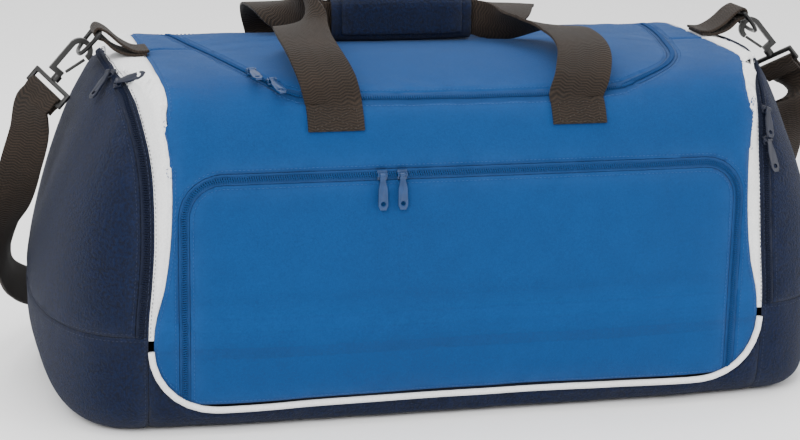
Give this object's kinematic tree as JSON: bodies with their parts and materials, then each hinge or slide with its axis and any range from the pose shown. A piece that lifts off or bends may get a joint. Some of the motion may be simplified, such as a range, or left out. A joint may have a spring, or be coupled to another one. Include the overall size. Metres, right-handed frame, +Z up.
{
  "type": "duffel bag",
  "caption": "Large zip-top duffel bag with boxy sagging ends, a U-shaped front pocket, zipped end pockets, joined webbing handles and a clip-on shoulder strap.",
  "frame": {"origin": "middle of the flat underside of the base, on the floor", "axes": "+X along the bag to its right end as seen from the front, -Y the front with the pocket, +Z up"},
  "size_m": [0.8359, 0.4489, 0.3686],
  "materials": {
    "royal_fabric": "plain-woven polyester, matt",
    "navy_fabric": "plain-woven polyester, matt",
    "white_fabric": "plain-woven polyester, matt",
    "lining": "thin coated lining",
    "webbing": "ribbed heavy webbing",
    "royal_zip": "woven zip tape with a nylon coil",
    "navy_zip": "woven zip tape with a nylon coil",
    "royal_plastic": "coated slider and pull",
    "navy_plastic": "coated slider and pull",
    "black_plastic": "moulded, satin",
    "wire": "dark coated wire",
    "board": "covered stiffener board"
  },
  "bodies": {
    "bag": {"base_panel": "navy_fabric", "front_panel": "royal_fabric", "back_panel": "royal_fabric", "front_piping": "white_fabric", "back_piping": "white_fabric", "left_side_strip": "white_fabric", "right_side_strip": "white_fabric", "left_end_panel": "navy_fabric", "right_end_panel": "navy_fabric", "left_zip_body_tape": "navy_zip", "right_zip_body_tape": "navy_zip", "main_zip_body_tape": "royal_zip", "front_zip_body_tape": "royal_zip", "front_pocket_lining": "lining", "left_end_lining": "lining", "right_end_lining": "lining", "left_tab": "webbing", "right_tab": "webbing", "shoulder_strap": "webbing", "front_handle_left_end": "webbing", "front_handle_right_end": "webbing", "back_handle_left_end": "webbing", "back_handle_right_end": "webbing"},
    "top_flap": {"top_flap": "royal_fabric", "main_zip_flap_tape": "royal_zip"},
    "front_handle": {"front_handle": "webbing"},
    "back_handle": {"back_handle": "webbing", "grip_wrap": "navy_fabric"},
    "grip_flap": {"grip_flap": "navy_fabric"},
    "front_pocket": {"front_pocket_panel": "royal_fabric", "front_zip_panel_tape": "royal_zip"},
    "left_end_door": {"left_end_door": "navy_fabric", "left_zip_door_tape": "navy_zip", "left_upper_slider": "navy_plastic", "left_lower_slider": "navy_plastic"},
    "right_end_door": {"right_end_door": "navy_fabric", "right_zip_door_tape": "navy_zip", "right_upper_slider": "navy_plastic", "right_lower_slider": "navy_plastic"},
    "base_board": {"base_board": "board"},
    "main_left_slider": {"main_left_slider": "royal_plastic"},
    "main_left_pull": {"main_left_pull": "royal_plastic"},
    "main_right_slider": {"main_right_slider": "royal_plastic"},
    "main_right_pull": {"main_right_pull": "royal_plastic"},
    "pocket_left_slider": {"pocket_left_slider": "royal_plastic"},
    "pocket_left_pull": {"pocket_left_pull": "royal_plastic"},
    "pocket_right_slider": {"pocket_right_slider": "royal_plastic"},
    "pocket_right_pull": {"pocket_right_pull": "royal_plastic"},
    "left_upper_pull": {"left_upper_pull": "navy_plastic"},
    "left_lower_pull": {"left_lower_pull": "navy_plastic"},
    "right_upper_pull": {"right_upper_pull": "navy_plastic"},
    "right_lower_pull": {"right_lower_pull": "navy_plastic"},
    "left_ring": {"left_d_ring": "wire"},
    "left_hook": {"left_hook": "black_plastic"},
    "left_hook_gate": {"left_hook_gate": "black_plastic"},
    "left_strap_loop": {"left_strap_loop": "black_plastic"},
    "right_ring": {"right_d_ring": "wire"},
    "right_hook": {"right_hook": "black_plastic"},
    "right_hook_gate": {"right_hook_gate": "black_plastic"},
    "right_strap_loop": {"right_strap_loop": "black_plastic"}
  },
  "joints": [
    {"name": "top_flap_hinge", "type": "hinge", "parent": "bag", "child": "top_flap", "pos_m": [0, 0.11, 0.3175], "axis": [-1, 0, 0], "range_deg": [0, 37]},
    {"name": "front_handle_swing", "type": "hinge", "parent": "bag", "child": "front_handle", "pos_m": [0, -0.15138, 0.29143], "axis": [1, 0, 0], "range_deg": [0, 116.55], "deforming": ["grip_wrap"]},
    {"name": "back_handle_swing", "type": "hinge", "parent": "bag", "child": "back_handle", "pos_m": [0, 0.15138, 0.29143], "axis": [-1, 0, 0], "range_deg": [0, 116.55], "deforming": ["grip_wrap"]},
    {"name": "grip_flap_hinge", "type": "hinge", "parent": "back_handle", "child": "grip_flap", "pos_m": [0, 0.005, 0.361], "axis": [-1, 0, 0], "range_deg": [0, 120]},
    {"name": "front_pocket_hinge", "type": "hinge", "parent": "bag", "child": "front_pocket", "pos_m": [0, -0.1782, 0.0272], "axis": [1, 0, 0], "range_deg": [0, 80]},
    {"name": "left_end_door_hinge", "type": "hinge", "parent": "bag", "child": "left_end_door", "pos_m": [-0.3805, 0, 0.0918], "axis": [0, -1, 0], "range_deg": [0, 44], "deforming": ["shoulder_strap"]},
    {"name": "right_end_door_hinge", "type": "hinge", "parent": "bag", "child": "right_end_door", "pos_m": [0.3805, 0, 0.0918], "axis": [0, 1, 0], "range_deg": [0, 44], "deforming": ["shoulder_strap"]},
    {"name": "base_board_lift", "type": "slide", "parent": "bag", "child": "base_board", "axis": [0, 0, 1], "range_m": [0, 0.06]},
    {"name": "main_left_slider_travel", "type": "slide", "parent": "top_flap", "child": "main_left_slider", "axis": [0.9988, 0.048, 0.01], "range_m": [-0.008, 0]},
    {"name": "main_left_pull_swing", "type": "hinge", "parent": "main_left_slider", "child": "main_left_pull", "pos_m": [-0.187, -0.10989, 0.31561], "axis": [-0.9988, -0.048, -0.01], "range_deg": [0, 150]},
    {"name": "main_right_slider_travel", "type": "slide", "parent": "top_flap", "child": "main_right_slider", "axis": [0.9887, 0.138, 0.058], "range_m": [0, 0.006]},
    {"name": "main_right_pull_swing", "type": "hinge", "parent": "main_right_slider", "child": "main_right_pull", "pos_m": [-0.172, -0.12866, 0.30992], "axis": [-0.9887, -0.138, -0.058], "range_deg": [0, 150]},
    {"name": "pocket_left_slider_travel", "type": "slide", "parent": "front_pocket", "child": "pocket_left_slider", "axis": [1, 0, 0], "range_m": [-0.13, 0]},
    {"name": "pocket_left_pull_swing", "type": "hinge", "parent": "pocket_left_slider", "child": "pocket_left_pull", "pos_m": [-0.082, -0.17707, 0.23154], "axis": [-1, 0, 0], "range_deg": [0, 150]},
    {"name": "pocket_right_slider_travel", "type": "slide", "parent": "front_pocket", "child": "pocket_right_slider", "axis": [1, 0, 0], "range_m": [0, 0.27]},
    {"name": "pocket_right_pull_swing", "type": "hinge", "parent": "pocket_right_slider", "child": "pocket_right_pull", "pos_m": [-0.064, -0.17707, 0.23154], "axis": [-1, 0, 0], "range_deg": [0, 150]},
    {"name": "left_upper_pull_swing", "type": "hinge", "parent": "left_end_door", "child": "left_upper_pull", "pos_m": [-0.30791, -0.06594, 0.30915], "axis": [-0.5088, 0.8427, -0.1759], "range_deg": [0, 150]},
    {"name": "left_lower_pull_swing", "type": "hinge", "parent": "left_end_door", "child": "left_lower_pull", "pos_m": [-0.30347, -0.08788, 0.30361], "axis": [-0.3189, -0.7038, -0.6348], "range_deg": [0, 150]},
    {"name": "right_upper_pull_swing", "type": "hinge", "parent": "right_end_door", "child": "right_upper_pull", "pos_m": [0.29439, -0.1374, 0.2717], "axis": [-0.9019, -0.234, 0.363], "range_deg": [0, 150]},
    {"name": "right_lower_pull_swing", "type": "hinge", "parent": "right_end_door", "child": "right_lower_pull", "pos_m": [0.28979, -0.15429, 0.24633], "axis": [-0.9533, -0.3001, -0.035], "range_deg": [0, 62]},
    {"name": "left_ring_pivot", "type": "hinge", "parent": "bag", "child": "left_ring", "pos_m": [-0.313, -0.018, 0.338], "axis": [0, 1, 0], "range_deg": [0, 119], "deforming": ["shoulder_strap"]},
    {"name": "left_hook_pivot", "type": "hinge", "parent": "left_ring", "child": "left_hook", "pos_m": [-0.329, -0.018, 0.32], "axis": [0, 1, 0], "range_deg": [0, 31], "deforming": ["shoulder_strap"]},
    {"name": "left_loop_swivel", "type": "hinge", "parent": "left_hook", "child": "left_strap_loop", "pos_m": [-0.329, -0.018, 0.32], "axis": [-0.6601, 0, -0.7511], "range_deg": [0, 40], "deforming": ["shoulder_strap"]},
    {"name": "left_hook_gate_hinge", "type": "hinge", "parent": "left_hook", "child": "left_hook_gate", "pos_m": [-0.33637, -0.018, 0.30571], "axis": [0, 1, 0], "range_deg": [-22, 0], "stiffness_Nm_per_rad": 0.02},
    {"name": "right_ring_pivot", "type": "hinge", "parent": "bag", "child": "right_ring", "pos_m": [0.327, 0.025, 0.338], "axis": [0, -1, 0], "range_deg": [0, 119], "deforming": ["shoulder_strap"]},
    {"name": "right_hook_pivot", "type": "hinge", "parent": "right_ring", "child": "right_hook", "pos_m": [0.343, 0.025, 0.32], "axis": [0, -1, 0], "range_deg": [0, 31], "deforming": ["shoulder_strap"]},
    {"name": "right_loop_swivel", "type": "hinge", "parent": "right_hook", "child": "right_strap_loop", "pos_m": [0.343, 0.025, 0.32], "axis": [0.6601, 0, -0.7511], "range_deg": [0, 40], "deforming": ["shoulder_strap"]},
    {"name": "right_hook_gate_hinge", "type": "hinge", "parent": "right_hook", "child": "right_hook_gate", "pos_m": [0.35037, 0.025, 0.30571], "axis": [0, -1, 0], "range_deg": [-22, 0], "stiffness_Nm_per_rad": 0.02}
  ],
  "couplings": [
    {"joint": "front_handle_swing", "follows": "top_flap_hinge", "ratio": 3.15},
    {"joint": "back_handle_swing", "follows": "top_flap_hinge", "ratio": 3.15},
    {"joint": "left_ring_pivot", "follows": "left_end_door_hinge", "ratio": 2.7},
    {"joint": "left_hook_pivot", "follows": "left_end_door_hinge", "ratio": 0.7},
    {"joint": "right_ring_pivot", "follows": "right_end_door_hinge", "ratio": 2.7},
    {"joint": "right_hook_pivot", "follows": "right_end_door_hinge", "ratio": 0.7}
  ]
}
